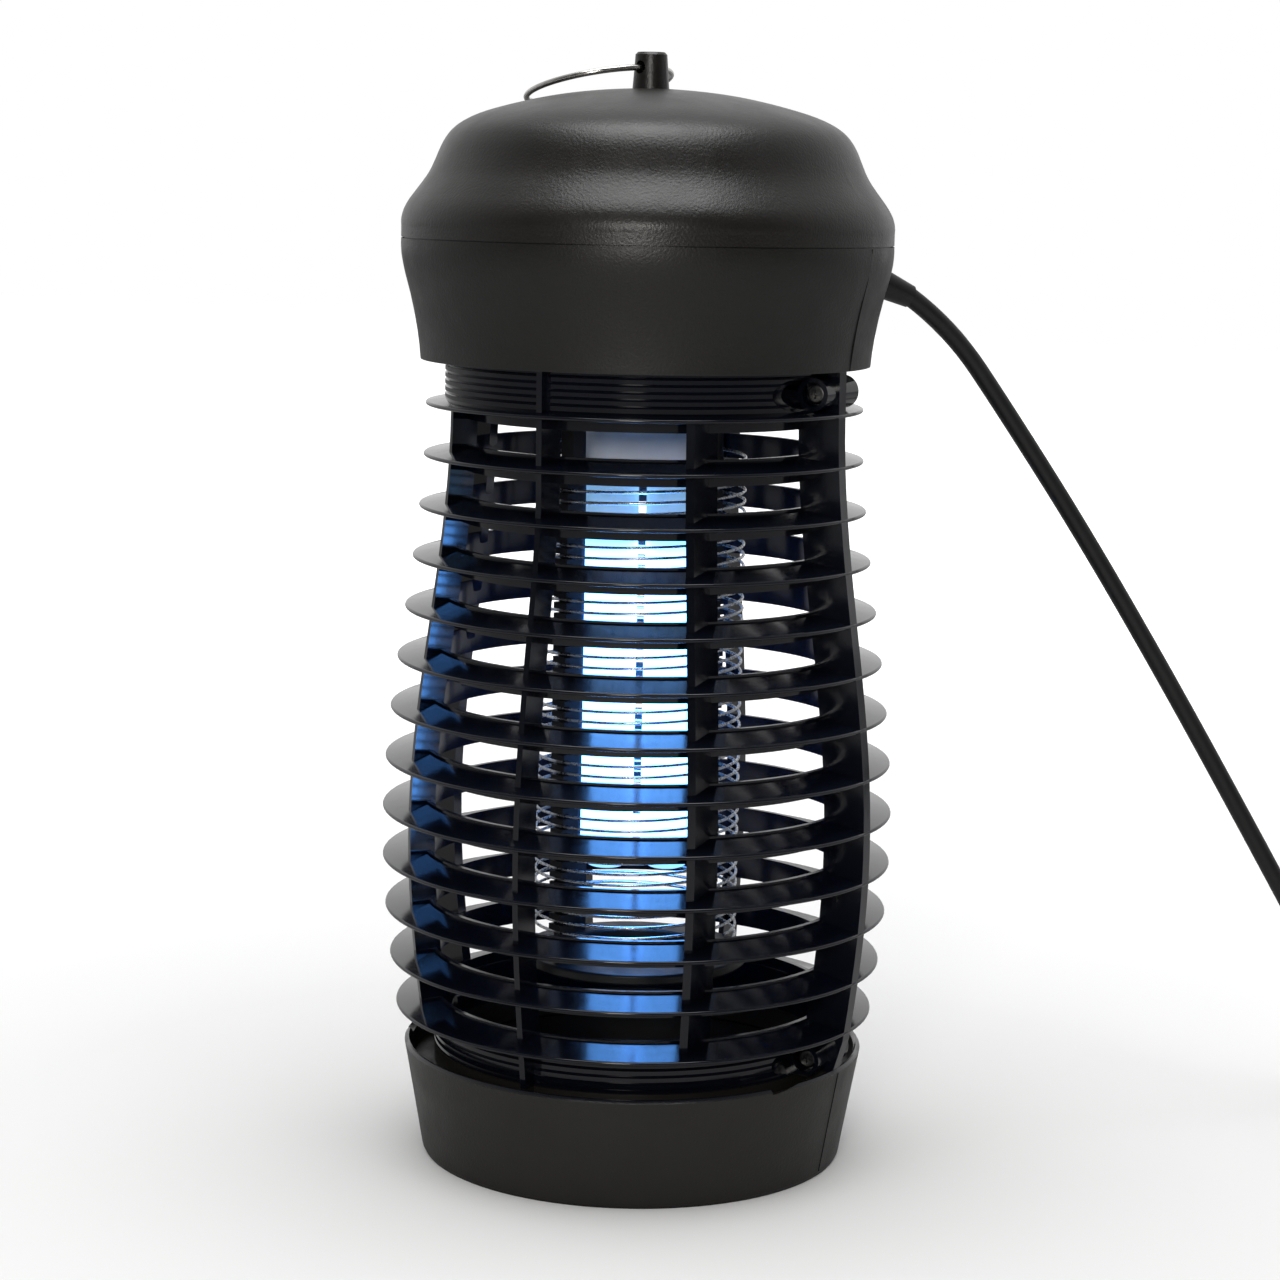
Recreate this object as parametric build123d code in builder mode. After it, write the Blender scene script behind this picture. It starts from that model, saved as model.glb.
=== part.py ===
from build123d import *
import os
from math import cos, pi, radians, sin, tan

os.makedirs("parts", exist_ok=True)

# Lantern-type electric insect killer. Millimetres, +Z up, origin at the centre of the base, on the surface
# it stands on. The two half-shells part on the plane Y = 0 and the front half faces -Y. Azimuths are degrees
# from -Y towards +X, so azimuth 90 is +X and azimuth 180 is the back.

# ---- driving dimensions --------------------------------------------------------------------------------
# guard cage: thirteen louvred rings on a barrel-shaped outline
FIN_COUNT = 13
FIN_PITCH = 18.75
FIN_LOW_Z = 56.25
FIN_TOP_Z = FIN_LOW_Z + (FIN_COUNT - 1) * FIN_PITCH
RIM_SMALL_R = 80.5
RIM_BULGE = 14.7
BELLY_Z = 124.0
BELLY_HALF = 159.4
LOUVRE_W = 14.3
LOUVRE_T = 1.5
LOUVRE_SLOPE = tan(radians(12))
BAND_T = 1.8
BAND_ABOVE = 4.4
BAND_BELOW = 5.1
RIB_T = 2.2
RIB_OUT = 6.5
RIB_IN = 18.5
SIDE_RIB_AZ = 41.0
FLANGE_T = 2.8

# base skirt, necks and upper skirt
WALL = 2.5
BASE_RIM_Z = 42.0
BASE_RIM_R = 86.3
BASE_FOOT_R = 79.3
SHELF_Z = 31.5
LOW_NECK_R = 75.0
TOP_NECK_R = 73.5
FLOOR_Z = 297.3
SKIRT_TOP_Z = 340.9
SKIRT_R = 90.0
SKIRT_FOOT_R = 82.6

# top cap and hanging post
POST_TOP_Z = 409.1
POST_R = 5.8
EYE_Z = 403.6
EYE_R = 2.35
EYE_AZ = -14.5
RING_WIRE_R = 1.1
RING_R = 27.0
RING_REST = 13.7

# screws that hold the half-shells together
SCREW_X = 73.5
SCREW_TOP_Z = 289.2
SCREW_LOW_X = 77.3
SCREW_LOW_Z = 46.6
BOSS_R = 6.0
BOSS_FRONT = 11.0
BOSS_REAR = 15.0
SCREW_SHANK_R = 1.75

# high-voltage grid
GRID_R = 37.8
GRID_WIRE_R = 0.55
GRID_PITCH = 8.0
GRID_TURNS = 22.5
GRID_TOP_Z = 266.0
GRID_TURN_AZ = -19.5
POST_W = 7.0

# lamp
TUBE_R = 9.8
TUBE_GAP = 22.4
LAMP_SIDE_AZ = 118.5
LAMP_TOP_Z = 258.0
LAMP_END_Z = 107.5
LAMP_BASE_TOP = 276.0

# bosses under the cap, for the screws that hold it down
CAP_BOSS_R = 62.0
CAP_BOSS_AZ = (60, 180, 300)

# removable catch tray
TRAY_R = 76.0
TRAY_Z = 3.0
TRAY_TOP_Z = 30.0
TRAY_WALL = 1.8

# chassis plate that closes the upper housing
CHASSIS_Z = FLOOR_Z + WALL
CHASSIS_T = 2.5
CHASSIS_TOP = CHASSIS_Z + CHASSIS_T

# mains cord: where it leaves the rear shell, and its route over the ground
CORD_R = 3.6
GLAND_AZ = 140.0
GLAND_Z = 329.0
GLAND_WALL_R = 88.6
GLAND_DROP = 22.0
BOOT_L = 20.0
COIL_X = 272.0
COIL_Y = 175.0
COIL_R = 40.0
COIL_TURNS_HIGH = 2


def rim_radius(z):
    """Outer radius of the barrel-shaped cage at height z."""
    return RIM_SMALL_R + RIM_BULGE * (1 + cos(pi * (z - BELLY_Z) / BELLY_HALF)) / 2


def at(radius, azimuth, z=0.0):
    """Point at a radius and azimuth."""
    return (radius * sin(radians(azimuth)), -radius * cos(radians(azimuth)), z)


def barrel_points(inset, low, high, steps=8):
    """Points of the cage outline, moved inwards by inset, from height low to height high."""
    heights = [low + (high - low) * i / steps for i in range(steps + 1)]
    return [(rim_radius(z) - inset, z) for z in heights]


def finish(part, name):
    """Label a finished piece and write it."""
    part.label = name
    export_step(part, f"parts/{name}.step")


# ---- half-shell: one moulding with upper skirt, necks, cage and base skirt -----------------------------
def louvre_corners(rim_z):
    """Corners of one louvre's section: it slopes down and outwards from the top of a short vertical band."""
    tip_r = rim_radius(rim_z) - LOUVRE_T / 2
    root_r = rim_radius(rim_z) - LOUVRE_W - 0.7
    root_z = rim_z + (tip_r - root_r) * LOUVRE_SLOPE
    half = LOUVRE_T / 2
    return [(tip_r, rim_z + half), (root_r, root_z + half), (root_r, root_z - half), (tip_r, rim_z - half)]


def groove_corners(radius, z):
    """Corners of one V groove of a ribbed neck."""
    return [(radius + 0.4, z - 0.9), (radius - 0.6, z), (radius + 0.4, z + 0.9)]


SKIRT_OUT = [(SKIRT_FOOT_R, FLOOR_Z), (84.2, 310.0), (86.9, 322.5), (89.3, 332.0), (SKIRT_R, SKIRT_TOP_Z)]
SKIRT_IN = [(r - WALL, z + 0.05 * WALL) for r, z in SKIRT_OUT[:-1]] + [(SKIRT_R - WALL, SKIRT_TOP_Z)]

with BuildPart() as side_rib:
    with BuildSketch(Plane.XZ):
        rib_line = barrel_points(RIB_OUT, FIN_LOW_Z, FIN_TOP_Z)
        middle = [(r * sin(radians(SIDE_RIB_AZ)), z) for r, z in rib_line]
        with BuildLine():
            left = Spline(*[(x - RIB_T / 2, z) for x, z in middle])
            right = Spline(*[(x + RIB_T / 2, z) for x, z in middle])
            Line(left @ 0, right @ 0)
            Line(left @ 1, right @ 1)
        make_face()
    extrude(amount=-RIM_SMALL_R - RIM_BULGE)
    with BuildSketch(Plane.XZ):
        with BuildLine():
            inner = Spline(*barrel_points(RIB_IN, FIN_LOW_Z, FIN_TOP_Z))
            outer = Spline(*barrel_points(RIB_OUT, FIN_LOW_Z, FIN_TOP_Z))
            Line(inner @ 0, outer @ 0)
            Line(inner @ 1, outer @ 1)
        make_face()
    revolve(axis=Axis.Z, revolution_arc=90, mode=Mode.INTERSECT)

with BuildPart() as half_shell:
    with BuildSketch(Plane.XZ):
        for i in range(FIN_COUNT):
            rim_z = FIN_LOW_Z + i * FIN_PITCH
            rim_r = rim_radius(rim_z)
            corners = louvre_corners(rim_z)
            with BuildLine():
                Polyline(*corners)
                ThreePointArc(corners[-1], (rim_r, rim_z), corners[0])
            make_face()
            with Locations((rim_r - LOUVRE_W - BAND_T / 2, rim_z + (BAND_ABOVE - BAND_BELOW) / 2)):
                Rectangle(BAND_T, BAND_ABOVE + BAND_BELOW)
    revolve(axis=Axis.Z, revolution_arc=180)
    # upper skirt, its floor and the upper neck
    with BuildSketch(Plane.XZ):
        with BuildLine():
            skirt_out = Spline(*SKIRT_OUT)
            skirt_in = Spline(*SKIRT_IN[1:])
            Line(skirt_out @ 1, skirt_in @ 1)
            Polyline(skirt_in @ 0, (SKIRT_FOOT_R - WALL, CHASSIS_Z), (TOP_NECK_R - WALL, CHASSIS_Z))
            Line((TOP_NECK_R - WALL, CHASSIS_Z), (TOP_NECK_R - WALL, FIN_TOP_Z + 1.2))
            Line((TOP_NECK_R - WALL, FIN_TOP_Z + 1.2), (TOP_NECK_R, FIN_TOP_Z + 1.2))
            Polyline((TOP_NECK_R, FIN_TOP_Z + 1.2), (TOP_NECK_R, FLOOR_Z), skirt_out @ 0)
        make_face()
        for k in range(5):
            with BuildLine():
                Polyline(*groove_corners(TOP_NECK_R, FIN_TOP_Z + 4.2 + 2.5 * k), close=True)
            make_face(mode=Mode.SUBTRACT)
    revolve(axis=Axis.Z, revolution_arc=180)
    # lower neck, the shelf that carries it and the base skirt
    with BuildSketch(Plane.XZ):
        with BuildLine():
            Polyline(
                (LOW_NECK_R, FIN_LOW_Z), (LOW_NECK_R, SHELF_Z + WALL), (82.4, SHELF_Z + WALL),
                (BASE_RIM_R - WALL, BASE_RIM_Z - 1.0), (BASE_RIM_R - WALL + 0.9, BASE_RIM_Z),
                (BASE_RIM_R - 0.9, BASE_RIM_Z), (BASE_RIM_R - 0.05, BASE_RIM_Z - 1.2), (BASE_FOOT_R, 1.5),
                (BASE_FOOT_R - 0.8, 0.0), (BASE_FOOT_R - WALL, 0.0), (82.0, SHELF_Z),
                (LOW_NECK_R - 2.3, SHELF_Z), (LOW_NECK_R - 2.3, FIN_LOW_Z), close=True,
            )
        make_face()
        for k in range(5):
            with BuildLine():
                Polyline(*groove_corners(LOW_NECK_R, 52.6 - 2.6 * k), close=True)
            make_face(mode=Mode.SUBTRACT)
    revolve(axis=Axis.Z, revolution_arc=180)
    # ribs: the middle one runs through both necks, the side ones only between the end fins
    with BuildSketch(Plane.YZ):
        with BuildLine():
            rib_line = barrel_points(RIB_OUT, SHELF_Z + 1, FIN_TOP_Z - FIN_PITCH)
            rib_out = Spline(*[(max(r, 76.5), z) for r, z in rib_line])
            rib_in = Spline(*barrel_points(RIB_IN, FIN_LOW_Z - 6, FIN_TOP_Z - FIN_PITCH))
            Polyline(
                rib_out @ 1, (77.0, FLOOR_Z + 1), (72.0, FLOOR_Z + 1), (64.0, FIN_TOP_Z + 2), rib_in @ 1
            )
            Polyline(rib_out @ 0, (74.0, SHELF_Z + 1), (74.0, FIN_LOW_Z - 6), rib_in @ 0)
        make_face()
    extrude(amount=RIB_T / 2, both=True)
    add(side_rib.part)
    add(mirror(side_rib.part, about=Plane.YZ))
    # flanges on the parting plane, flush with the fin rims
    with BuildSketch(Plane.XZ):
        with BuildLine():
            edge = Spline(*barrel_points(0.25, FIN_LOW_Z - 3, FIN_TOP_Z))
            back = Spline(*barrel_points(LOUVRE_W + BAND_T, FIN_LOW_Z - 3, FIN_TOP_Z))
            Polyline(edge @ 1, (80.2, FLOOR_Z + 1), (72.0, FLOOR_Z + 1), (72.0, FIN_TOP_Z + 4), back @ 1)
            Polyline(edge @ 0, (85.2, BASE_RIM_Z - 1), (83.2, SHELF_Z + 1), (73.5, SHELF_Z + 1), back @ 0)
        make_face()
        mirror(about=Plane.YZ)
    extrude(amount=-FLANGE_T)
    # guide ribs that centre the catch tray
    for azimuth in (105, 135, 225, 255):
        with BuildSketch(Plane(origin=(0, 0, 0), x_dir=at(1, azimuth), z_dir=at(1, azimuth - 90))):
            with BuildLine():
                guide_top = SHELF_Z + 0.5
                Polyline(
                    (TRAY_R + 0.35, 6), (77.6, 4), (82.2, guide_top), (TRAY_R + 0.35, guide_top), close=True
                )
            make_face()
        extrude(amount=1.0, both=True)


def screw_places():
    """Centres of the four screws in the parting plane, as (x, z)."""
    return [(s * x, z) for s in (-1, 1) for x, z in ((SCREW_X, SCREW_TOP_Z), (SCREW_LOW_X, SCREW_LOW_Z))]


with BuildPart() as front_shell:
    add(mirror(half_shell.part, about=Plane.XZ))
    with BuildSketch(Plane.XZ):
        with Locations(*screw_places()):
            Circle(BOSS_R)
    extrude(amount=BOSS_FRONT)
    with BuildSketch(Plane.XZ):
        with Locations(*screw_places()):
            Circle(SCREW_SHANK_R + 0.3)
    extrude(amount=BOSS_FRONT, mode=Mode.SUBTRACT)
    with BuildSketch(Plane.XZ.offset(6.0)):
        with Locations(*screw_places()):
            Circle(4.3)
    extrude(amount=6.0, mode=Mode.SUBTRACT)
    # keep the counterbores open through the neck wall in front of them
    with BuildSketch(Plane.XZ.offset(BOSS_FRONT)):
        with Locations(*screw_places()):
            Circle(BOSS_R + 0.4)
    extrude(amount=26.0, mode=Mode.SUBTRACT)
finish(front_shell.part, "front_shell")

gland_dir = Vector(*at(cos(radians(GLAND_DROP)), GLAND_AZ, -sin(radians(GLAND_DROP))))
gland_at = Vector(*at(GLAND_WALL_R, GLAND_AZ, GLAND_Z))
gland_plane = Plane(origin=gland_at, z_dir=gland_dir)

with BuildPart() as rear_shell:
    add(half_shell.part)
    with BuildSketch(Plane.XZ):
        with Locations(*screw_places()):
            Circle(BOSS_R)
    extrude(amount=-BOSS_REAR)
    with BuildSketch(Plane.XZ):
        with Locations(*screw_places()):
            Circle(SCREW_SHANK_R)
    extrude(amount=-BOSS_REAR + 2, mode=Mode.SUBTRACT)
    with BuildSketch(gland_plane.offset(-10)):
        Circle(6.1)
    extrude(amount=20, mode=Mode.SUBTRACT)
finish(rear_shell.part, "rear_shell")

with BuildPart() as shell_screws:
    with BuildSketch(Plane.XZ.offset(6.0)):
        with Locations(*screw_places()):
            Circle(3.5)
    extrude(amount=2.4)
    fillet(shell_screws.faces().filter_by(GeomType.PLANE).sort_by(Axis.Y)[:4].edges(), 0.9)
    with BuildSketch(Plane.XZ.offset(6.0)):
        with Locations(*screw_places()):
            Circle(SCREW_SHANK_R)
    extrude(amount=-17.0)
    with BuildSketch(Plane.XZ.offset(8.4)):
        with Locations(*screw_places()):
            Rectangle(3.6, 0.8)
            Rectangle(0.8, 3.6)
    extrude(amount=-1.3, mode=Mode.SUBTRACT)
finish(shell_screws.part, "shell_screws")

# ---- top cap with its hanging post ---------------------------------------------------------------------
DOME_OUT = [(6.7, 396.0), (33.2, 393.4), (52.5, 389.1), (65.2, 384.7), (71.8, 380.2), (75.8, 374.2),
            (79.3, 366.1), (85.4, 357.3), (89.0, 351.6), (SKIRT_R, 345.4)]
DOME_IN = [(0.0, 393.3), (16.0, 392.6), (32.8, 390.6), (51.5, 386.8), (63.9, 382.5), (69.9, 378.4),
           (73.4, 373.2), (77.0, 365.0), (83.2, 355.9), (86.7, 350.4), (SKIRT_R - WALL, 344.0)]

with BuildPart() as top_cap:
    with BuildSketch(Plane.XZ):
        with BuildLine():
            Polyline((0, POST_TOP_Z), (POST_R - 0.9, POST_TOP_Z), (POST_R, POST_TOP_Z - 0.9), (6.7, 396.0))
            dome = Spline(*DOME_OUT)
            Polyline(
                dome @ 1, (SKIRT_R, SKIRT_TOP_Z + 0.4), (88.9, SKIRT_TOP_Z + 0.4), (88.9, SKIRT_TOP_Z),
                (86.6, SKIRT_TOP_Z), (86.6, 336.5), (84.6, 336.5), (84.6, 341.5), (SKIRT_R - WALL, 344.0),
            )
            Spline(*reversed(DOME_IN))
            Line((0, 393.3), (0, POST_TOP_Z))
        make_face()
    revolve(axis=Axis.Z)
    with BuildSketch(Plane.XY.offset(CHASSIS_TOP)):
        for azimuth in CAP_BOSS_AZ:
            with Locations(at(CAP_BOSS_R, azimuth)[:2]):
                Circle(4.0)
    extrude(until=Until.NEXT)
    with BuildSketch(Plane.XY.offset(CHASSIS_TOP)):
        for azimuth in CAP_BOSS_AZ:
            with Locations(at(CAP_BOSS_R, azimuth)[:2]):
                Circle(1.6)
    extrude(amount=14, mode=Mode.SUBTRACT)
    with BuildSketch(Plane(origin=(0, 0, EYE_Z), z_dir=at(1, EYE_AZ))):
        Circle(EYE_R)
    extrude(amount=12, both=True, mode=Mode.SUBTRACT)
finish(top_cap.part, "top_cap")

# ---- hanging ring, folded down beside the post ---------------------------------------------------------
side_az = EYE_AZ - 90
ring_centre = at(RING_R * cos(radians(RING_REST)), side_az, EYE_Z - RING_R * sin(radians(RING_REST)))
ring_normal = at(sin(radians(RING_REST)), side_az, cos(radians(RING_REST)))
with BuildPart() as hanging_ring:
    with BuildSketch(Plane(origin=at(0, 0, EYE_Z), z_dir=at(1, EYE_AZ))):
        Circle(RING_WIRE_R)
    revolve(axis=Axis(ring_centre, ring_normal))
finish(hanging_ring.part, "hanging_ring")

lamp_plane = Plane(origin=(0, 0, 0), x_dir=at(1, LAMP_SIDE_AZ), z_dir=(0, 0, 1))

# ---- chassis plate and cap screws ----------------------------------------------------------------------
with BuildPart() as chassis_plate:
    with BuildSketch(Plane.XY.offset(CHASSIS_Z)):
        Circle(79.0)
        for azimuth in CAP_BOSS_AZ:
            with Locations(at(CAP_BOSS_R, azimuth)[:2]):
                Circle(1.9, mode=Mode.SUBTRACT)
        with Locations(at(TUBE_GAP / 2, LAMP_SIDE_AZ)[:2], at(-TUBE_GAP / 2, LAMP_SIDE_AZ)[:2]):
            Circle(3.0, mode=Mode.SUBTRACT)
    extrude(amount=CHASSIS_T)
    with BuildSketch(Plane.XY.offset(CHASSIS_TOP)):
        with GridLocations(62, 34, 2, 2, align=(Align.CENTER, Align.CENTER)):
            Circle(2.5)
    extrude(amount=5.0)
finish(chassis_plate.part, "chassis_plate")

with BuildPart() as cap_screws:
    with BuildSketch(Plane.XY.offset(CHASSIS_Z)):
        for azimuth in CAP_BOSS_AZ:
            with Locations(at(CAP_BOSS_R, azimuth)[:2]):
                Circle(3.2)
    extrude(amount=-2.2)
    with BuildSketch(Plane.XY.offset(CHASSIS_Z)):
        for azimuth in CAP_BOSS_AZ:
            with Locations(at(CAP_BOSS_R, azimuth)[:2]):
                Circle(1.6)
    extrude(amount=14.0)
finish(cap_screws.part, "cap_screws")

# ---- lamp: holder, base, pins and twin tubes -----------------------------------------------------------
with BuildPart() as lamp_holder:
    with BuildSketch(lamp_plane.offset(CHASSIS_Z)):
        RectangleRounded(48, 28, 6)
    extrude(amount=-(CHASSIS_Z - LAMP_BASE_TOP))
    with BuildSketch(lamp_plane.offset(LAMP_BASE_TOP)):
        with GridLocations(TUBE_GAP / 2, 10, 3, 1):
            Circle(1.35)
    extrude(amount=7.0, mode=Mode.SUBTRACT)
finish(lamp_holder.part, "lamp_holder")

with BuildPart() as lamp_base:
    with BuildSketch(lamp_plane.offset(LAMP_TOP_Z - 4)):
        RectangleRounded(TUBE_GAP + 2 * TUBE_R + 0.6, 2 * TUBE_R + 3, 9)
    extrude(amount=LAMP_BASE_TOP - LAMP_TOP_Z + 4)
    fillet(lamp_base.faces().sort_by(Axis.Z)[0].edges(), 1.2)
    with BuildSketch(lamp_plane.offset(LAMP_TOP_Z - 4)):
        with Locations((-TUBE_GAP / 2, 0), (TUBE_GAP / 2, 0)):
            Circle(TUBE_R)
    extrude(amount=4, mode=Mode.SUBTRACT)
    with BuildSketch(lamp_plane.offset(LAMP_BASE_TOP)):
        with GridLocations(TUBE_GAP / 2, 10, 3, 1):
            Circle(1.2)
    extrude(amount=-5, mode=Mode.SUBTRACT)
finish(lamp_base.part, "lamp_base")

with BuildPart() as lamp_pins:
    with BuildSketch(lamp_plane.offset(LAMP_BASE_TOP - 5)):
        with GridLocations(TUBE_GAP / 2, 10, 3, 1):
            Circle(1.2)
    extrude(amount=11.0)
finish(lamp_pins.part, "lamp_pins")

with BuildPart() as lamp_tubes:
    with BuildSketch(lamp_plane.offset(LAMP_TOP_Z)):
        with Locations((-TUBE_GAP / 2, 0), (TUBE_GAP / 2, 0)):
            Circle(TUBE_R)
    extrude(amount=LAMP_END_Z - LAMP_TOP_Z)
    fillet(lamp_tubes.faces().group_by(Axis.Z)[0].edges(), 6.0)
    with BuildSketch(Plane(origin=(0, 0, LAMP_END_Z + 16), z_dir=lamp_plane.x_dir)):
        Circle(4.0)
    extrude(amount=TUBE_GAP / 2 - 4, both=True)
finish(lamp_tubes.part, "lamp_tubes")

# ---- high-voltage grid: two interleaved wire coils on four comb posts ----------------------------------
GRID_LEN = GRID_PITCH * GRID_TURNS
GRID_END_Z = GRID_TOP_Z - GRID_LEN
POST_AZ = [GRID_TURN_AZ + 90 * i for i in range(4)]
for name, start_z in (("grid_coil_a", GRID_END_Z), ("grid_coil_b", GRID_END_Z - GRID_PITCH / 2)):
    with BuildPart() as grid_coil:
        with BuildLine():
            turns = Helix(pitch=GRID_PITCH, height=GRID_LEN, radius=GRID_R, center=(0, 0, start_z))
        with BuildSketch(Plane(origin=turns @ 0, z_dir=turns % 0)):
            Circle(GRID_WIRE_R)
        sweep(is_frenet=True)
    finish(grid_coil.part, name)

with BuildPart() as grid_posts:
    for azimuth in POST_AZ:
        axis_deg = azimuth - 90
        with BuildSketch(Plane(origin=(0, 0, GRID_END_Z - 10), x_dir=at(1, azimuth), z_dir=(0, 0, 1))):
            with Locations((GRID_R - 3.2, 0)):
                Rectangle(4.8, POST_W)
        extrude(amount=CHASSIS_Z - GRID_END_Z + 10)
        # comb teeth between the wires; the coils climb a pitch each turn, starting at azimuth 90
        turn = (axis_deg / 360) % 1.0
        with BuildSketch(Plane(origin=(0, 0, 0), x_dir=at(1, azimuth), z_dir=at(1, azimuth - 90))):
            for k in range(int(2 * GRID_TURNS) - 1):
                tooth_z = GRID_END_Z + GRID_PITCH * (turn + (k - 0.5) / 2)
                with Locations((GRID_R + 0.2, tooth_z)):
                    Rectangle(3.0, 2.2)
        extrude(amount=POST_W / 2, both=True)
finish(grid_posts.part, "grid_posts")

with BuildPart() as grid_end_ring:
    with BuildSketch(Plane.XY.offset(GRID_END_Z - 14)):
        Circle(GRID_R + 4.5)
        Circle(GRID_R - 8.5, mode=Mode.SUBTRACT)
    extrude(amount=4.0)
    fillet(grid_end_ring.edges(), 1.0)
finish(grid_end_ring.part, "grid_end_ring")

# ---- electronics in the upper housing ------------------------------------------------------------------
BOARD_Z = CHASSIS_TOP + 5.0
with BuildPart() as circuit_board:
    with BuildSketch(Plane.XY.offset(BOARD_Z)):
        RectangleRounded(74, 46, 3)
    extrude(amount=1.6)
finish(circuit_board.part, "circuit_board")

with BuildPart() as hv_transformer:
    with BuildSketch(Plane.XY.offset(BOARD_Z + 1.6)):
        with Locations((-20, 8)):
            Rectangle(24, 22)
    extrude(amount=20)
    with BuildSketch(Plane.XY.offset(BOARD_Z + 5)):
        with Locations((-20, 8)):
            Rectangle(30, 14)
    extrude(amount=13)
finish(hv_transformer.part, "hv_transformer")

with BuildPart() as hv_capacitors:
    with BuildSketch(Plane.XY.offset(BOARD_Z + 1.6)):
        with Locations((3, -14), (16, -14), (29, -14)):
            RectangleRounded(10, 6, 1.5)
    extrude(amount=12)
    fillet(hv_capacitors.faces().group_by(Axis.Z)[-1].edges(), 1.0)
finish(hv_capacitors.part, "hv_capacitors")

with BuildPart() as lamp_ballast:
    with BuildSketch(Plane.XY.offset(CHASSIS_TOP)):
        with Locations((0, -50)):
            RectangleRounded(46, 26, 1.5)
    extrude(amount=30)
    with BuildSketch(Plane.XY.offset(CHASSIS_TOP + 6)):
        with Locations((0, -50)):
            RectangleRounded(34, 36, 4)
    extrude(amount=18)
finish(lamp_ballast.part, "lamp_ballast")

with BuildPart() as terminal_block:
    with BuildSketch(Plane.XY.offset(CHASSIS_TOP)):
        with Locations((14, 46)):
            Rectangle(30, 16)
    extrude(amount=12)
    with BuildSketch(Plane.XY.offset(CHASSIS_TOP + 12)):
        with Locations((4, 46), (14, 46), (24, 46)):
            Circle(2.6)
    extrude(amount=-4, mode=Mode.SUBTRACT)
finish(terminal_block.part, "terminal_block")

# ---- cord strain relief, cord, coil and plug -----------------------------------------------------------
with BuildPart() as cord_strain_relief:
    with BuildSketch(gland_plane.offset(-12)):
        Circle(7.6)
    extrude(amount=5)
    with BuildSketch(gland_plane.offset(-7)):
        Circle(6.0)
    extrude(amount=9)
    with BuildSketch(gland_plane.offset(2)):
        Circle(6.0)
    with BuildSketch(gland_plane.offset(BOOT_L)):
        Circle(CORD_R + 0.7)
    loft()
finish(cord_strain_relief.part, "cord_strain_relief")

boot_end = gland_at + gland_dir * BOOT_L
CORD_ROUTE = [
    (boot_end.X, boot_end.Y, boot_end.Z),
    (80.0, 96.0, 310.0),
    (97.0, 115.0, 277.0),
    (122.0, 138.0, 229.0),
    (151.0, 158.0, 173.0),
    (181.0, 176.0, 114.0),
    (205.0, 190.0, 66.0),
    (220.0, 199.0, 40.0),
    (233.0, 207.0, 23.0),
    (249.0, 214.0, 13.0),
    (270.0, 218.6, 10.8),
]
TAIL_ROUTE = [
    (315.6, 168.0, 3.6),
    (314.8, 148.0, 4.6),
    (311.8, 129.0, 8.0),
    (309.5, 110.0, 8.0),
]


def arc_radii(points):
    """Largest tangent arc that each corner's two runs leave room for."""
    radii = []
    for a, b, c in zip(points, points[1:], points[2:]):
        run_in = Vector(*b) - Vector(*a)
        run_out = Vector(*c) - Vector(*b)
        half_turn = radians(run_in.get_angle(run_out)) / 2
        radii.append(0.45 * min(run_in.length, run_out.length) / tan(half_turn))
    return radii


for name, points in (("power_cord", CORD_ROUTE), ("cord_tail", TAIL_ROUTE)):
    radii = arc_radii(points)
    with BuildPart() as cord:
        with BuildLine():
            route = FilletPolyline(*points, radius=radii)
        with BuildSketch(Plane(origin=route @ 0, z_dir=route % 0)):
            Circle(CORD_R)
        sweep()
    print(name, "length", round(route.length, 1), "radii", [round(r) for r in radii])
    print(name, "volume", round(cord.part.volume), "section x length", round(pi * CORD_R**2 * route.length))
    finish(cord.part, name)

COIL_HIGH = 2 * CORD_R * COIL_TURNS_HIGH
TIE_T = 1.2
TIE_W = 9.0
tie_at = (COIL_X - COIL_R, COIL_Y)
with BuildPart() as cord_coil:
    with BuildSketch(Plane.XY):
        with Locations((COIL_X, COIL_Y)):
            Circle(COIL_R + 2 * CORD_R)
            Circle(COIL_R - 2 * CORD_R, mode=Mode.SUBTRACT)
    extrude(amount=COIL_HIGH)
    fillet(cord_coil.edges(), 3.0)
    with BuildSketch(Plane.XY):
        with Locations(tie_at):
            Rectangle(4 * CORD_R + 2, TIE_W)
    extrude(amount=TIE_T, mode=Mode.SUBTRACT)
finish(cord_coil.part, "cord_coil")

with BuildPart() as coil_tie:
    with BuildSketch(Plane.XZ.offset(-COIL_Y - TIE_W / 2)):
        with Locations((tie_at[0], (COIL_HIGH + 1.5) / 2)):
            Rectangle(4 * CORD_R + 2 * TIE_T + 0.6, COIL_HIGH + 1.5)
        with Locations((tie_at[0], (COIL_HIGH + 1.5) / 2)):
            Rectangle(4 * CORD_R + 0.6, COIL_HIGH + 1.5 - 2 * TIE_T, mode=Mode.SUBTRACT)
    extrude(amount=TIE_W)
finish(coil_tie.part, "coil_tie")

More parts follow.
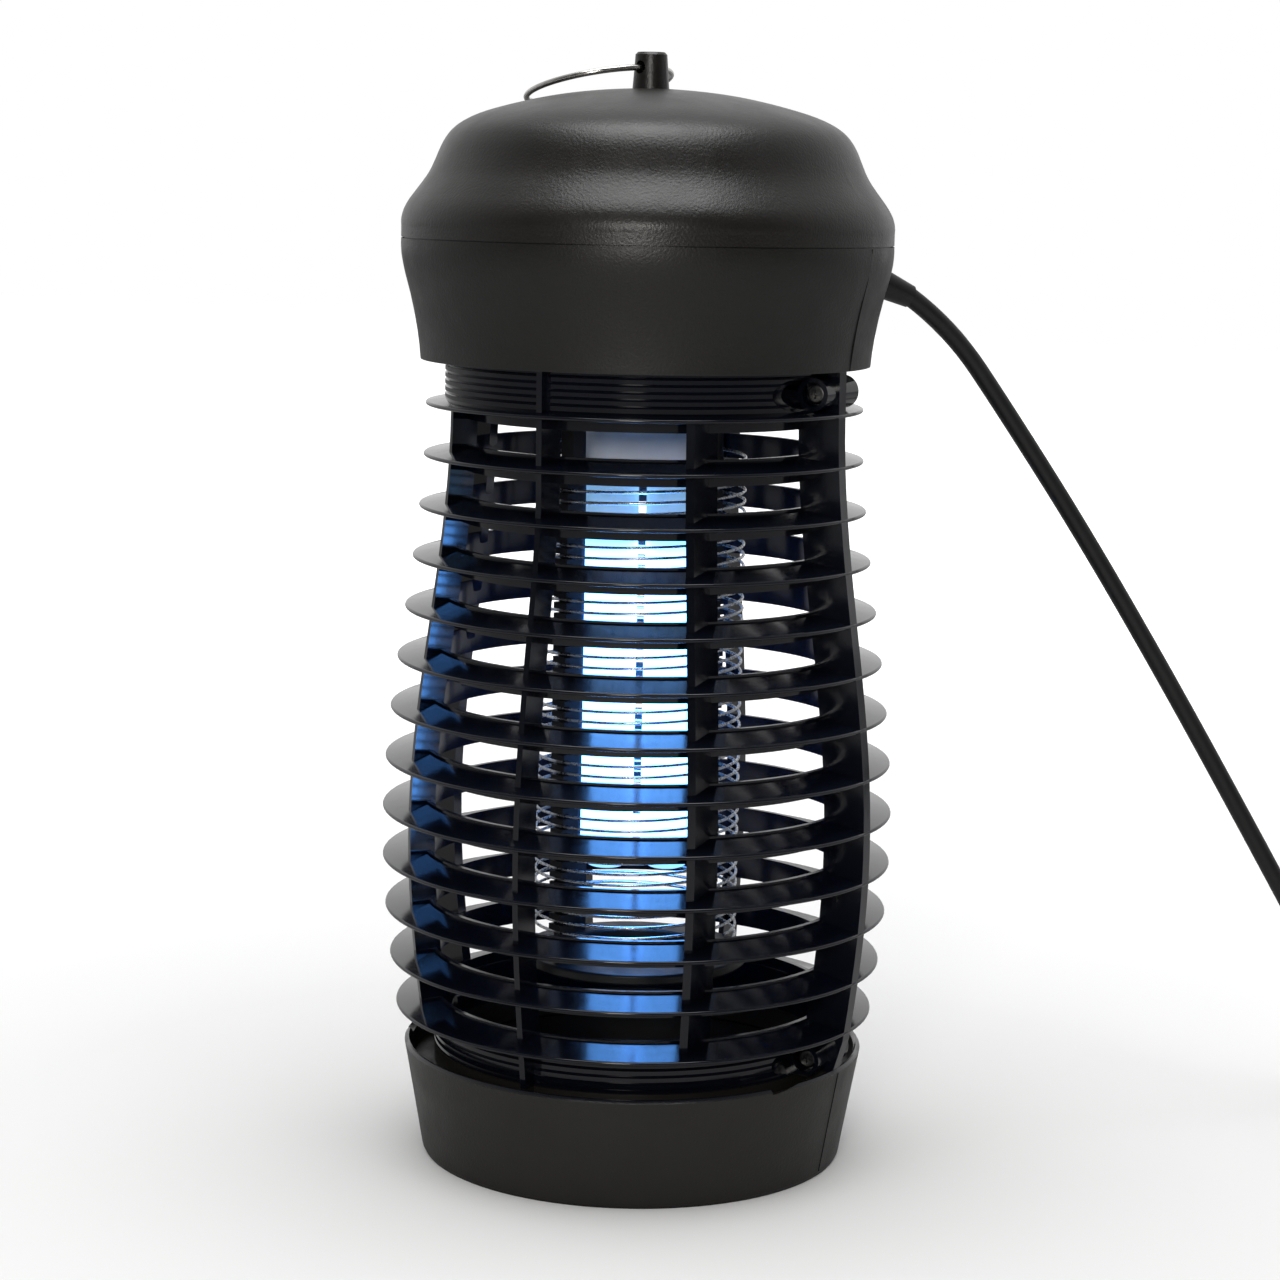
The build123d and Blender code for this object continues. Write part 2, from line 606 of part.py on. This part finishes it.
plug_dir = (Vector(*TAIL_ROUTE[-1]) - Vector(*TAIL_ROUTE[-2])).normalized()
plug_plane = Plane(origin=TAIL_ROUTE[-1], x_dir=(-plug_dir.Y, plug_dir.X, 0), z_dir=plug_dir)
PLUG_W = 37.0
PLUG_T = 16.0
PLUG_L = 36.0
PIN_R = 2.4
PIN_GAP = 19.0
PIN_L = 19.0
PIN_NECK_R = 2.2
PIN_NECK_L = 1.0
with BuildPart() as plug_body:
    with BuildSketch(plug_plane):
        Circle(CORD_R + 0.8)
    with BuildSketch(plug_plane.offset(16)):
        Ellipse(9.0, 6.5)
    loft()
    with BuildSketch(plug_plane.offset(16)):
        RectangleRounded(22.0, PLUG_T - 2.0, 5.0)
    with BuildSketch(plug_plane.offset(26)):
        RectangleRounded(PLUG_W, PLUG_T, 6.0)
    loft()
    with BuildSketch(plug_plane.offset(26)):
        RectangleRounded(PLUG_W, PLUG_T, 6.0)
    extrude(amount=PLUG_L - 10)
    with BuildSketch(plug_plane.offset(16 + PLUG_L)):
        with GridLocations(PIN_GAP, 10, 2, 1):
            Circle(PIN_NECK_R)
    extrude(amount=-12, mode=Mode.SUBTRACT)
finish(plug_body.part, "plug_body")

with BuildPart() as plug_pins:
    with BuildSketch(plug_plane.offset(16 + PLUG_L - 12)):
        with GridLocations(PIN_GAP, 10, 2, 1):
            Circle(PIN_NECK_R)
    extrude(amount=12 + PIN_NECK_L)
    with BuildSketch(plug_plane.offset(16 + PLUG_L + PIN_NECK_L)):
        with GridLocations(PIN_GAP, 10, 2, 1):
            Circle(PIN_R)
    extrude(amount=PIN_L - PIN_NECK_L)
    fillet(plug_pins.faces().filter_by(GeomType.PLANE).sort_by(Axis.Y)[:2].edges(), 1.2)
finish(plug_pins.part, "plug_pins")

# ---- leads inside the upper housing --------------------------------------------------------------------
gland_inside = gland_at - gland_dir * 12
LEADS = [
    [gland_inside + Vector(1.2, 0, 0), (36, 50, 326), (24, 46, 318), (24, 46, CHASSIS_TOP + 8.3)],
    [gland_inside - Vector(1.2, 0, 0), (30, 52, 328), (14, 47, 320), (14, 46, CHASSIS_TOP + 8.3)],
]
with BuildPart() as mains_leads:
    for points in LEADS:
        corners = [Vector(*p) if isinstance(p, tuple) else p for p in points]
        with BuildLine():
            lead = FilletPolyline(*corners, radius=3.5)
        with BuildSketch(Plane(origin=lead @ 0, z_dir=lead % 0)):
            Circle(1.1)
        sweep()
finish(mains_leads.part, "mains_leads")

# ---- catch tray that drops out of the base -------------------------------------------------------------
GRIP_R = 27.0
GRIP_H = 13.0
with BuildPart() as catch_tray:
    with BuildSketch(Plane.XY.offset(TRAY_Z)):
        Circle(TRAY_R)
    extrude(amount=TRAY_TOP_Z - TRAY_Z)
    fillet(catch_tray.edges().group_by(Axis.Z)[0], 2.0)
    with BuildSketch(Plane.XY.offset(TRAY_Z + 2.0)):
        Circle(TRAY_R - TRAY_WALL)
    extrude(amount=TRAY_TOP_Z, mode=Mode.SUBTRACT)
    with BuildSketch(Plane.XY.offset(TRAY_Z)):
        Circle(GRIP_R + 2.0)
    extrude(amount=GRIP_H + 2.0)
    with BuildSketch(Plane.XY.offset(TRAY_Z)):
        Circle(GRIP_R)
    extrude(amount=GRIP_H, mode=Mode.SUBTRACT)
    with BuildSketch(Plane.XY.offset(TRAY_Z)):
        Rectangle(2 * GRIP_R + 1, 8)
    extrude(amount=GRIP_H + 0.5)
finish(catch_tray.part, "catch_tray")
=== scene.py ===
from math import cos, radians, sin

import bpy
from mathutils import Matrix, Vector


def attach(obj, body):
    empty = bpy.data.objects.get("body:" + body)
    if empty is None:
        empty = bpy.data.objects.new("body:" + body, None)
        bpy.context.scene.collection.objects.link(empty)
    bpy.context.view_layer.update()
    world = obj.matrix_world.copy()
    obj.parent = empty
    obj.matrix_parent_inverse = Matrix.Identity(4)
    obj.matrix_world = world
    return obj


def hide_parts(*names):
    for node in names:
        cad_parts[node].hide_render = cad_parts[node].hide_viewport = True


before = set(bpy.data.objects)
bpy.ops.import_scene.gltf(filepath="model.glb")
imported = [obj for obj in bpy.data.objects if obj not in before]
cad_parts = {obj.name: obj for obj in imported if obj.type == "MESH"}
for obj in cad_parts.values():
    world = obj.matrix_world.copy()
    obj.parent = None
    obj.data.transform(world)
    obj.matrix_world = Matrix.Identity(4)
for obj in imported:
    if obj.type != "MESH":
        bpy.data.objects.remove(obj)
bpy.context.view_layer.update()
scene = bpy.context.scene
scene.view_settings.view_transform = "Standard"
scene.view_settings.look = "None"

# ---- camera --------------------------------------------------------------------------------------
CAM_AZ = radians(28.5)
CAM_DIST = 1.1365
CAM_Z = 0.3625
CAM_PITCH = radians(8.454)
CAM_ROLL = radians(1.123)
CAM_LENS = 86.67
CAM_SENSOR = 36.0
CAM_CLIP_END = 20.0

ahead = Vector((-sin(CAM_AZ), cos(CAM_AZ), 0.0))
side = Vector((cos(CAM_AZ), sin(CAM_AZ), 0.0))
up = Vector((0.0, 0.0, 1.0))
look = ahead * cos(CAM_PITCH) - up * sin(CAM_PITCH)
cam_up = ahead * sin(CAM_PITCH) + up * cos(CAM_PITCH)
right = side * cos(CAM_ROLL) + cam_up * sin(CAM_ROLL)
top = cam_up * cos(CAM_ROLL) - side * sin(CAM_ROLL)
camera = bpy.data.objects.new("camera", bpy.data.cameras.new("camera"))
camera.data.lens = CAM_LENS
camera.data.sensor_width = CAM_SENSOR
camera.data.clip_end = CAM_CLIP_END
place = Matrix((right, top, -look)).transposed().to_4x4()
place.translation = Vector((CAM_DIST * sin(CAM_AZ), -CAM_DIST * cos(CAM_AZ), CAM_Z))
camera.matrix_world = place
scene.collection.objects.link(camera)
scene.camera = camera


# ---- material helpers ----------------------------------------------------------------------------
# sockets of a Mix node: the factor, and the two inputs of its float and colour forms
MIX_FACTOR = 0
MIX_FLOATS = (2, 3)
MIX_COLOURS = (6, 7)
MIX_COLOUR_OUT = 2
# the part of a noise's range that colours and roughness are spread over
NOISE_LOW = 0.3
NOISE_HIGH = 0.7
NOISE_ROUGHNESS = 0.55


class Shader:
    """One node material built around a Principled BSDF."""

    def __init__(self, name, **sockets):
        self.mat = bpy.data.materials.new(name)
        self.mat.use_nodes = True
        self.tree = self.mat.node_tree
        self.bsdf = self.tree.nodes["Principled BSDF"]
        for key, value in sockets.items():
            self.bsdf.inputs[key.replace("_", " ")].default_value = value

    def node(self, kind, **settings):
        n = self.tree.nodes.new(kind)
        for key, value in settings.items():
            if hasattr(n, key):
                setattr(n, key, value)
            else:
                n.inputs[key.replace("_", " ")].default_value = value
        return n

    def link(self, a, b):
        self.tree.links.new(a, b)

    def position(self, scale=(1, 1, 1)):
        coord = self.node("ShaderNodeTexCoord")
        mapping = self.node("ShaderNodeMapping")
        mapping.inputs["Scale"].default_value = scale
        self.link(coord.outputs["Object"], mapping.inputs["Vector"])
        return mapping.outputs["Vector"]

    def noise(self, scale, detail=3.0, stretch=(1, 1, 1)):
        n = self.node("ShaderNodeTexNoise", Scale=scale, Detail=detail, Roughness=NOISE_ROUGHNESS)
        self.link(self.position(stretch), n.inputs["Vector"])
        return n.outputs["Fac"]

    def ramp(self, value, low, high, out_low, out_high):
        n = self.node("ShaderNodeMapRange")
        n.inputs["From Min"].default_value = low
        n.inputs["From Max"].default_value = high
        n.inputs["To Min"].default_value = out_low
        n.inputs["To Max"].default_value = out_high
        self.link(value, n.inputs["Value"])
        return n.outputs["Result"]

    def colours(self, value, *stops):
        n = self.node("ShaderNodeValToRGB")
        bar = n.color_ramp
        while len(bar.elements) < len(stops):
            bar.elements.new(0.5)
        for element, (place_at, colour) in zip(bar.elements, stops):
            element.position = place_at
            element.color = (*colour, 1.0)
        self.link(value, n.inputs["Fac"])
        return n.outputs["Color"]

    def varied(self, noise, low, high):
        return self.ramp(noise, NOISE_LOW, NOISE_HIGH, low, high)

    def paint(self, noise, dark, light):
        return self.colours(noise, (NOISE_LOW, dark), (NOISE_HIGH, light))

    def maths(self, operation, a, b):
        n = self.node("ShaderNodeMath", operation=operation)
        self.link(a, n.inputs[0])
        self.link(b, n.inputs[1])
        return n.outputs[0]

    def mix(self, factor, a, b):
        n = self.node("ShaderNodeMix")
        self.link(factor, n.inputs[MIX_FACTOR])
        for socket, value in zip(MIX_FLOATS, (a, b)):
            self.link(value, n.inputs[socket])
        return n.outputs[0]

    def mix_colours(self, factor, a, b):
        n = self.node("ShaderNodeMix", data_type="RGBA")
        self.link(factor, n.inputs[MIX_FACTOR])
        for socket, value in zip(MIX_COLOURS, (a, b)):
            if isinstance(value, tuple):
                n.inputs[socket].default_value = (*value, 1.0)
            else:
                self.link(value, n.inputs[socket])
        return n.outputs[MIX_COLOUR_OUT]

    def height(self):
        xyz = self.node("ShaderNodeSeparateXYZ")
        self.link(self.position(), xyz.inputs["Vector"])
        return xyz.outputs["Z"]

    def bump(self, value, depth):
        n = self.node("ShaderNodeBump", Distance=depth)
        self.link(value, n.inputs["Height"])
        self.link(n.outputs["Normal"], self.bsdf.inputs["Normal"])

    def feed(self, name, value):
        self.link(value, self.bsdf.inputs[name])


BLOTCH = 30.0
GLOSS_BLOTCH = 120.0


def plastic(name, dark, light, rough_low, rough_high, grain=900.0, depth=0.00003):
    """Moulded plastic: faint colour blotches, uneven gloss and a fine mould grain."""
    m = Shader(name, Specular_IOR_Level=0.5)
    m.feed("Base Color", m.paint(m.noise(BLOTCH), dark, light))
    m.feed("Roughness", m.varied(m.noise(GLOSS_BLOTCH), rough_low, rough_high))
    m.bump(m.noise(grain, detail=2.0), depth)
    return m.mat


METAL_GRAIN = 400.0
METAL_DEPTH = 0.00001
METAL_LOW = 0.25
METAL_HIGH = 0.75


def metal(name, dark, light, rough_low, rough_high, stretch=(1, 1, 1)):
    """Metal with fine drawn or rolled streaks."""
    m = Shader(name, Metallic=1.0)
    streaks = m.noise(METAL_GRAIN, stretch=stretch)
    m.feed("Base Color", m.colours(streaks, (METAL_LOW, dark), (METAL_HIGH, light)))
    m.feed("Roughness", m.varied(streaks, rough_low, rough_high))
    m.bump(streaks, METAL_DEPTH)
    return m.mat


# ---- black housing -------------------------------------------------------------------------------
# heights where the gloss fades into the textured skirt and the textured base, over a millimetre
SKIRT_FADE_Z = (0.2965, 0.2975)
BASE_FADE_Z = (0.0415, 0.0405)
HOUSING_GRAIN = 1000.0
HOUSING_GRAIN_DEPTH = 0.00012
GLOSSY_GRAIN = 0.03
# the louvres' black is tinted blue: painted lamp light, the blue the UV tube throws on the fins around it
FIN_BLACK_LAMP_BLUE = ((0.0035, 0.0045, 0.0090), (0.0055, 0.0068, 0.0130))
SKIRT_BLACK = ((0.0048, 0.0045, 0.0036), (0.0070, 0.0066, 0.0054))
# the base's black is about three times lighter than the skirt's, though both are the same plastic:
# painted light on the base
BASE_BLACK_PAINTED_LIGHTER = ((0.0150, 0.0142, 0.0118), (0.0190, 0.0180, 0.0150))
DOME_BLACK = ((0.0060, 0.0052, 0.0045), (0.0090, 0.0078, 0.0066))
# lowest and highest roughness
FIN_GLOSS = (0.10, 0.16)
SKIRT_SATIN = (0.36, 0.46)
DOME_SATIN = (0.34, 0.41)


def shell_material():
    """Glossy louvres and ribs between the textured skirt and the textured base; the louvres' black
    carries painted lamp blue and the base's black is painted lighter.
    """
    m = Shader("shell_black", Specular_IOR_Level=0.5)
    z = m.height()
    skirt = m.ramp(z, *SKIRT_FADE_Z, 0.0, 1.0)
    base = m.ramp(z, *BASE_FADE_Z, 0.0, 1.0)
    textured = m.maths("MAXIMUM", skirt, base)
    fin_paint_lamp_blue, skirt_paint, base_paint_lighter = (
        m.paint(m.noise(25.0), *pair) for pair in (FIN_BLACK_LAMP_BLUE, SKIRT_BLACK, BASE_BLACK_PAINTED_LIGHTER)
    )
    # the louvre zone takes the blue-tinted black, painted lamp light; the skirt keeps the plastic's own
    # black
    above_base = m.mix_colours(textured, fin_paint_lamp_blue, skirt_paint)
    # the base zone takes the lighter black, painted light
    m.feed("Base Color", m.mix_colours(base, above_base, base_paint_lighter))
    satin = m.varied(m.noise(90.0), *SKIRT_SATIN)
    gloss = m.varied(m.noise(120.0), *FIN_GLOSS)
    m.feed("Roughness", m.mix(textured, gloss, satin))
    grain = m.noise(HOUSING_GRAIN, detail=2.5)
    grain_share = m.ramp(textured, 0.0, 1.0, GLOSSY_GRAIN, 1.0)
    m.bump(m.maths("MULTIPLY", grain, grain_share), HOUSING_GRAIN_DEPTH)
    return m.mat


def dome_material():
    """Satin black with a fine leather-like mould texture."""
    m = Shader("dome_black", Specular_IOR_Level=0.55)
    m.feed("Base Color", m.paint(m.noise(18.0), *DOME_BLACK))
    m.feed("Roughness", m.varied(m.noise(70.0), *DOME_SATIN))
    m.bump(m.noise(HOUSING_GRAIN, detail=2.5), HOUSING_GRAIN_DEPTH)
    return m.mat


# ---- lamp ----------------------------------------------------------------------------------------
LAMP_DIM_Z = 0.235
LAMP_BRIGHT_Z = 0.226
LAMP_FOOT_Z = 0.112
LAMP_FOOT_FADE = 0.004
LAMP_FOOT_LIGHT = 0.1
LAMP_STRENGTH = (0.5, 9.0)
PHOSPHOR = ((0.50, 0.60, 0.78), (0.56, 0.66, 0.84))
LAMP_COLOURS = (
    (0.0, (0.30, 0.62, 0.95)),
    (0.3, (0.12, 0.40, 1.0)),
    (1.0, (0.11, 0.37, 1.0)),
)


def lamp_material():
    """Phosphor-coated tube: white-blue where the arc burns, dim at the electrodes."""
    m = Shader("uv_lamp", Roughness=0.12)
    z = m.height()
    m.feed("Base Color", m.paint(m.noise(200.0), *PHOSPHOR))
    upper = m.ramp(z, LAMP_DIM_Z, LAMP_BRIGHT_Z, 0.0, 1.0)
    foot_from, foot_to = LAMP_FOOT_Z - LAMP_FOOT_FADE, LAMP_FOOT_Z + LAMP_FOOT_FADE
    lower = m.ramp(z, foot_from, foot_to, LAMP_FOOT_LIGHT, 1.0)
    glow = m.maths("MULTIPLY", upper, lower)
    m.feed("Emission Strength", m.ramp(glow, 0.0, 1.0, *LAMP_STRENGTH))
    m.feed("Emission Color", m.colours(glow, *LAMP_COLOURS))
    return m.mat


# ---- finish of each CAD node ---------------------------------------------------------------------
shell = shell_material()
dome = dome_material()
rubber = plastic(
    "cord_pvc", (0.004, 0.004, 0.0045), (0.008, 0.008, 0.008), 0.38, 0.5, grain=700.0, depth=0.00004
)
inner = plastic("inner_black", (0.006, 0.006, 0.006), (0.012, 0.011, 0.011), 0.45, 0.6)
ivory = plastic("socket_ivory", (0.88, 0.87, 0.81), (0.92, 0.91, 0.85), 0.4, 0.55)
comb = plastic("comb_black", (0.008, 0.009, 0.012), (0.014, 0.016, 0.020), 0.3, 0.45)
steel = metal("plated_steel", (0.50, 0.49, 0.47), (0.66, 0.65, 0.63), 0.16, 0.28)
wire = metal("grid_steel", (0.80, 0.82, 0.84), (0.92, 0.93, 0.95), 0.22, 0.34)
screw = metal("dark_screw", (0.10, 0.10, 0.10), (0.17, 0.17, 0.17), 0.3, 0.42)
brass = metal("plated_brass", (0.62, 0.52, 0.33), (0.74, 0.63, 0.42), 0.2, 0.3)
laminations = metal(
    "core_steel", (0.06, 0.06, 0.065), (0.13, 0.13, 0.14), 0.4, 0.55, stretch=(0.05, 0.05, 3)
)
board = plastic("board_green", (0.02, 0.12, 0.04), (0.03, 0.17, 0.06), 0.3, 0.4)
film = plastic("capacitor_brown", (0.30, 0.08, 0.03), (0.38, 0.11, 0.04), 0.2, 0.3)
sleeve = plastic("lead_sleeve", (0.14, 0.08, 0.05), (0.20, 0.11, 0.07), 0.35, 0.5)
LOOKS = {
    shell: ["front_shell", "rear_shell"],
    dome: ["top_cap"],
    rubber: ["cord_strain_relief", "plug_body"],
    inner: ["chassis_plate", "catch_tray", "coil_tie"],
    ivory: ["lamp_holder", "lamp_base", "terminal_block"],
    comb: ["grid_posts", "grid_end_ring"],
    steel: ["hanging_ring"],
    wire: ["grid_coil_a", "grid_coil_b"],
    screw: ["shell_screws", "cap_screws"],
    brass: ["lamp_pins", "plug_pins"],
    laminations: ["hv_transformer", "lamp_ballast"],
    board: ["circuit_board"],
    film: ["hv_capacitors"],
    sleeve: ["mains_leads"],
    lamp_material(): ["lamp_tubes"],
}
for material, names in LOOKS.items():
    for name in names:
        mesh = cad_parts[name].data
        mesh.materials.clear()
        mesh.materials.append(material)

# ---- mains cord: free run, coil and plug end as one line -----------------------------------------
CORD_D = 0.0072
CORD_ROUTE = [
    (0.06887, 0.08208, 0.32151),
    (0.080, 0.096, 0.310),
    (0.097, 0.115, 0.277),
    (0.122, 0.138, 0.229),
    (0.151, 0.158, 0.173),
    (0.181, 0.176, 0.114),
    (0.205, 0.190, 0.066),
    (0.220, 0.199, 0.040),
    (0.233, 0.207, 0.023),
    (0.249, 0.214, 0.013),
]
TAIL_ROUTE = [
    (0.3156, 0.168, 0.0036),
    (0.3148, 0.148, 0.0046),
    (0.3118, 0.129, 0.0080),
    (0.3095, 0.110, 0.0080),
]
COIL_AT = (0.272, 0.175)
COIL_OUTER = 0.0439
COIL_INNER = 0.0366
COIL_LAYERS = (0.0108, 0.0036)
COIL_TURNED = 1170
STEP = 15
# degrees turned where the coil moves in, moves down a layer, and moves out again
MOVES_IN = (245, 315)
MOVES_DOWN = (540, 610)
MOVES_OUT = (830, 900)


def eased(turned, start, end):
    """0 before start, 1 after end, smooth between, in degrees turned along the coil."""
    t = min(max((turned - start) / (end - start), 0.0), 1.0)
    return t * t * (3 - 2 * t)


coil = []
for turned in range(0, COIL_TURNED + STEP, STEP):
    inward = eased(turned, *MOVES_IN) - eased(turned, *MOVES_OUT)
    down = eased(turned, *MOVES_DOWN)
    radius = COIL_OUTER + (COIL_INNER - COIL_OUTER) * inward
    angle = radians(90 - turned)
    z = COIL_LAYERS[0] + (COIL_LAYERS[1] - COIL_LAYERS[0]) * down
    coil.append((COIL_AT[0] + radius * cos(angle), COIL_AT[1] + radius * sin(angle), z))

line = bpy.data.curves.new("mains_cord", "CURVE")
line.dimensions = "3D"
spline = line.splines.new("NURBS")
route = CORD_ROUTE + coil + TAIL_ROUTE
spline.points.add(len(route) - 1)
for point, xyz in zip(spline.points, route):
    point.co = (*xyz, 1.0)
spline.order_u = 3
spline.use_endpoint_u = True
spline.resolution_u = 8
line.bevel_depth = CORD_D / 2
line.bevel_resolution = 7
line.use_fill_caps = True
line.materials.append(rubber)
cord = bpy.data.objects.new("mains_cord", line)
scene.collection.objects.link(cord)
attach(cord, "housing")
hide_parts("power_cord", "cord_coil", "cord_tail")

# ---- parting seams of the two half-shells --------------------------------------------------------
SEAM_R = 0.00022
# radius and height of the points that each seam follows
SKIRT_EDGE = [
    (0.0826, 0.2974),
    (0.0842, 0.310),
    (0.0869, 0.3225),
    (0.0893, 0.332),
    (0.0900, 0.3406),
]
BASE_EDGE = [(0.0794, 0.002), (0.0828, 0.0212), (0.08625, 0.0406)]
# the parting seams are real, but their beads are near-black and matte, darker than the shell plastic:
# painted shade of the gap between the half-shells
seam_shade_black = plastic("seam_shade_black", (0.0008,) * 3, (0.0015,) * 3, 0.8, 0.9)
for label, edge in (("skirt", SKIRT_EDGE), ("base", BASE_EDGE)):
    for sign, end in ((-1, "left"), (1, "right")):
        seam_line = bpy.data.curves.new(f"seam_{label}_{end}", "CURVE")
        seam_line.dimensions = "3D"
        run = seam_line.splines.new("NURBS")
        run.points.add(len(edge) - 1)
        for point, (r, z) in zip(run.points, edge):
            point.co = (sign * r, 0.0, z, 1.0)
        run.order_u = 3
        run.use_endpoint_u = True
        seam_line.bevel_depth = SEAM_R
        seam_line.bevel_resolution = 3
        seam_line.materials.append(seam_shade_black)
        seam = bpy.data.objects.new(f"seam_{label}_{end}", seam_line)
        scene.collection.objects.link(seam)
        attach(seam, "housing")

# ---- floor, world and lights ---------------------------------------------------------------------
FLOOR_HALF = 6.0
# the floor's own glow, from the first radius to the second, so that it fades into the white world
GLOW_FROM = 0.25
GLOW_FULL = 1.6
GLOW = 0.85
FLOOR_BOUNCE = (0.42, 0.42, 0.42)
FLOOR_PALE = ((0.86, 0.86, 0.86), (0.88, 0.88, 0.88))
floor_mesh = bpy.data.meshes.new("floor")
floor_mesh.from_pydata(
    [(x * FLOOR_HALF, y * FLOOR_HALF, 0) for x, y in ((-1, -1), (1, -1), (1, 1), (-1, 1))],
    [],
    [(0, 1, 2, 3)],
)
floor = bpy.data.objects.new("floor", floor_mesh)
scene.collection.objects.link(floor)
pale = Shader("floor_pale", Roughness=0.9, Specular_IOR_Level=0.1)
seen_floor = pale.node("ShaderNodeLightPath").outputs["Is Camera Ray"]
floor_paint = pale.paint(pale.noise(2.0), *FLOOR_PALE)
pale.feed("Base Color", pale.mix_colours(seen_floor, FLOOR_BOUNCE, floor_paint))
reach = pale.node("ShaderNodeVectorMath", operation="LENGTH")
pale.link(pale.position(), reach.inputs[0])
fade = pale.ramp(reach.outputs["Value"], GLOW_FROM, GLOW_FULL, 0.0, GLOW)
pale.bsdf.inputs["Emission Color"].default_value = (1.0, 1.0, 1.0, 1.0)
pale.feed("Emission Strength", pale.maths("MULTIPLY", fade, seen_floor))
floor_mesh.materials.append(pale.mat)

# light of the room behind the camera and behind the object; the camera itself sees white
ROOM_DARK = 0.06
ROOM_PALE = 1.1
ROOM_DARK_UP_TO = -0.6
world = bpy.data.worlds.new("studio")
world.use_nodes = True
sky = world.node_tree
seen = sky.nodes["Background"]
seen.inputs["Strength"].default_value = 1.0
seen.inputs["Color"].default_value = (1.0, 1.0, 1.0, 1.0)
coord = sky.nodes.new("ShaderNodeTexCoord")
facing = sky.nodes.new("ShaderNodeVectorMath")
facing.operation = "DOT_PRODUCT"
facing.inputs[1].default_value = ahead
room = sky.nodes.new("ShaderNodeMapRange")
room.inputs["From Min"].default_value = ROOM_DARK_UP_TO
room.inputs["To Min"].default_value = ROOM_DARK
room.inputs["To Max"].default_value = ROOM_PALE
lit = sky.nodes.new("ShaderNodeBackground")
path = sky.nodes.new("ShaderNodeLightPath")
either = sky.nodes.new("ShaderNodeMixShader")
sky.links.new(coord.outputs["Generated"], facing.inputs[0])
sky.links.new(facing.outputs["Value"], room.inputs["Value"])
sky.links.new(room.outputs["Result"], lit.inputs["Strength"])
sky.links.new(path.outputs["Is Camera Ray"], either.inputs["Fac"])
sky.links.new(lit.outputs["Background"], either.inputs[1])
sky.links.new(seen.outputs["Background"], either.inputs[2])
sky.links.new(either.outputs["Shader"], sky.nodes["World Output"].inputs["Surface"])
scene.world = world


def softbox(name, azimuth, height, distance, aim_z, size, power, tint=(1, 1, 1)):
    """Square light facing the object's axis. Azimuth 0 is in front, positive to the right."""
    light = bpy.data.lights.new(name, "AREA")
    light.size = size
    light.energy = power
    light.color = tint
    lamp = bpy.data.objects.new(name, light)
    a = radians(azimuth)
    lamp.location = (distance * sin(a), -distance * cos(a), height)
    aim = Vector((0, 0, aim_z)) - lamp.location
    lamp.rotation_euler = aim.to_track_quat("-Z", "Y").to_euler()
    scene.collection.objects.link(lamp)


softbox("overhead", azimuth=28, height=3.5, distance=0.3, aim_z=0.2, size=2.6, power=96)
softbox(
    "front", azimuth=22, height=0.58, distance=1.5, aim_z=0.3, size=0.3, power=6.0, tint=(1.0, 0.97, 0.92)
)
